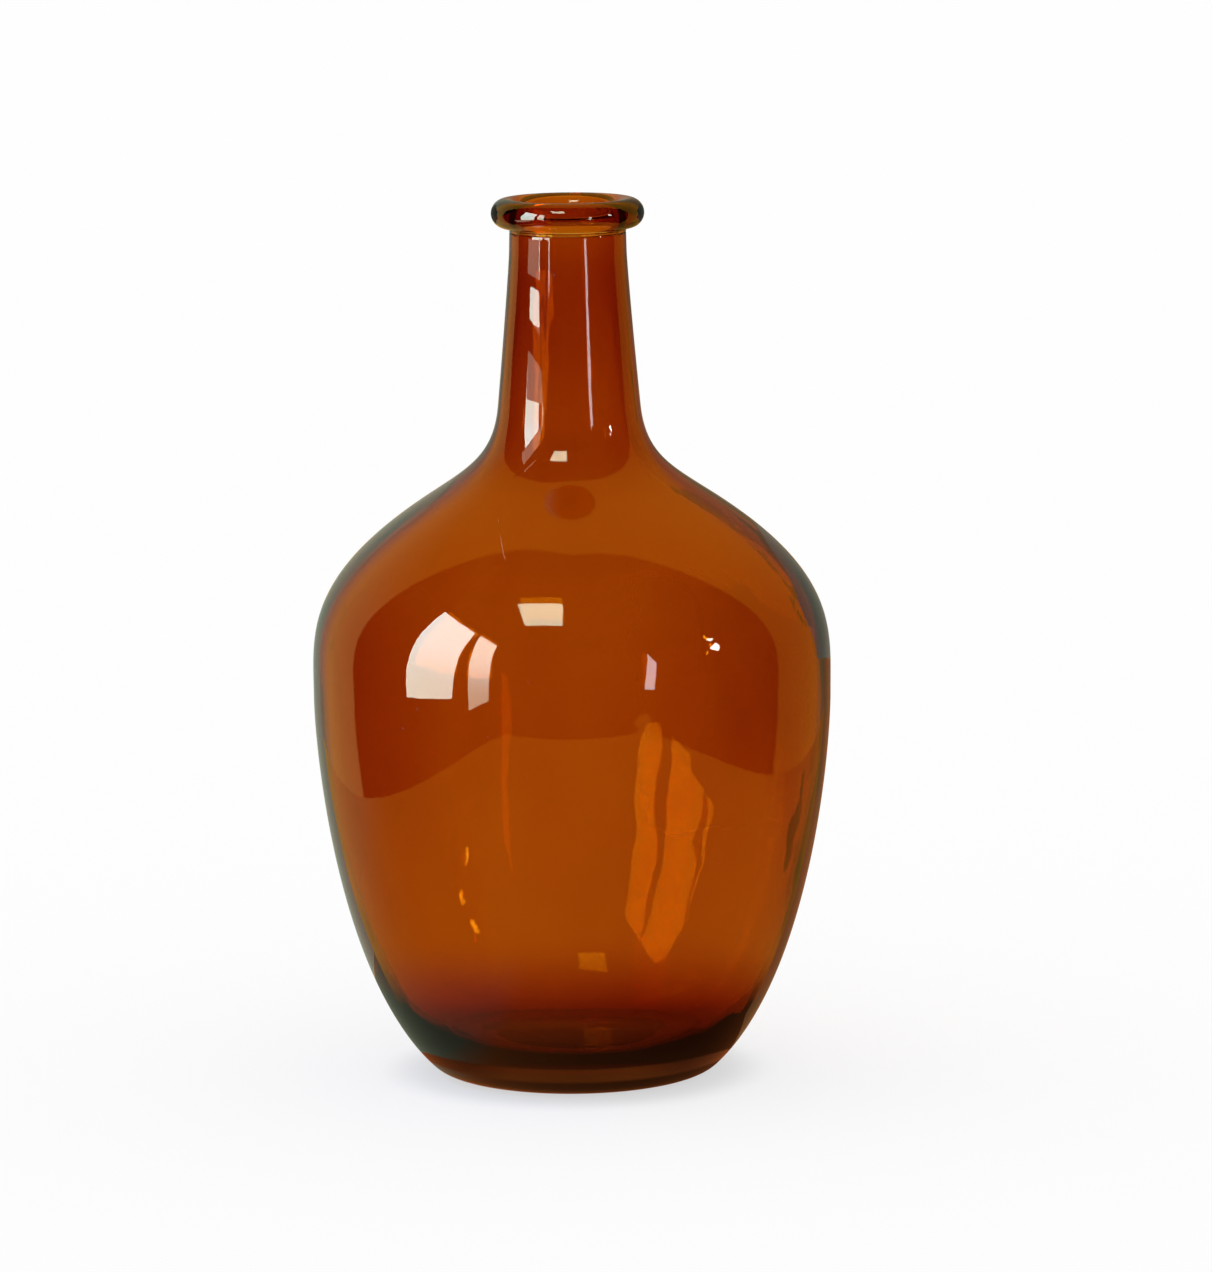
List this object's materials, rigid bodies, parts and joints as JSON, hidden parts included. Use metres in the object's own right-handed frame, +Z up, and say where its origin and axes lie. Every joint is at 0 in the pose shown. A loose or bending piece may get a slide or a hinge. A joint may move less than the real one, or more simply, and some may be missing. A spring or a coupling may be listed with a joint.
{
  "type": "glass bottle vase",
  "caption": "Amber glass bottle vase with a rounded belly, a slim neck, a rolled lip ring and a pushed-up base.",
  "frame": {"origin": "centre of the resting plane, on the axis of the vase", "axes": "+Z up the axis of the vase, out of the mouth; the vase is round, so X and Y are free, and -Y faces the picture's camera"},
  "size_m": [0.1766, 0.1766, 0.3],
  "materials": {
    "body_glass": "clear amber glass, fire polished, slightly wavy inside",
    "lip_glass": "clear amber glass, fire polished"
  },
  "bodies": {
    "root": {"vase_body": "body_glass", "lip_ring": "lip_glass"}
  },
  "joints": []
}
